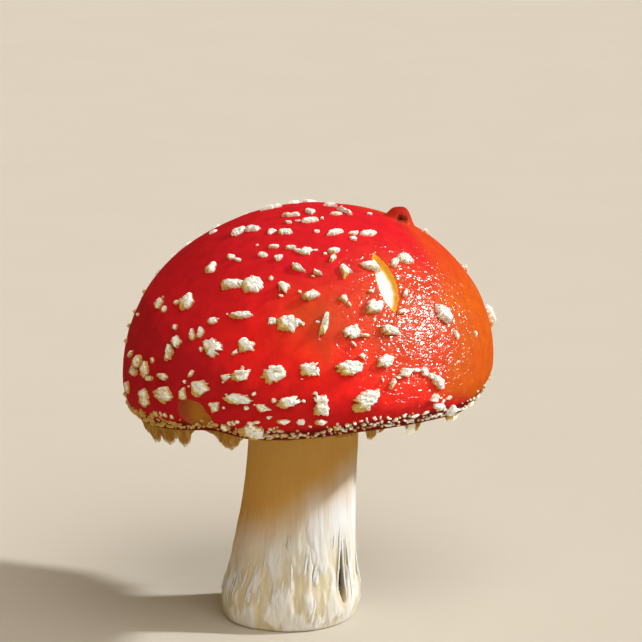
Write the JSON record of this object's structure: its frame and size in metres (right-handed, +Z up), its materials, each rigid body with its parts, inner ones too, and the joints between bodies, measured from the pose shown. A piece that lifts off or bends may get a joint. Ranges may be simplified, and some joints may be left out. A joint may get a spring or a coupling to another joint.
{
  "type": "fly agaric mushroom",
  "caption": "Fly agaric mushroom as picked: a domed warted cap on gills, with a skirt-like ring and a stem that stands on its flat cut base.",
  "frame": {"origin": "centre of the flat cut through the bulb, where the stem rests", "axes": "+Z up along the stem towards the cap's crown, -Y towards the side that the picture shows, +X to the right in the picture; the stem leans a little towards +X"},
  "size_m": [0.1009, 0.1043, 0.1147],
  "materials": {
    "cap_skin": "glossy moist skin with dry cream warts fused on",
    "gill_flesh": "matt, soft",
    "veil": "matt, finely grooved on its upper face",
    "stem_flesh": "matt, fibrous"
  },
  "bodies": {
    "root": {"cap": "cap_skin", "gills": "gill_flesh", "ring": "veil", "stem": "stem_flesh"}
  },
  "joints": []
}
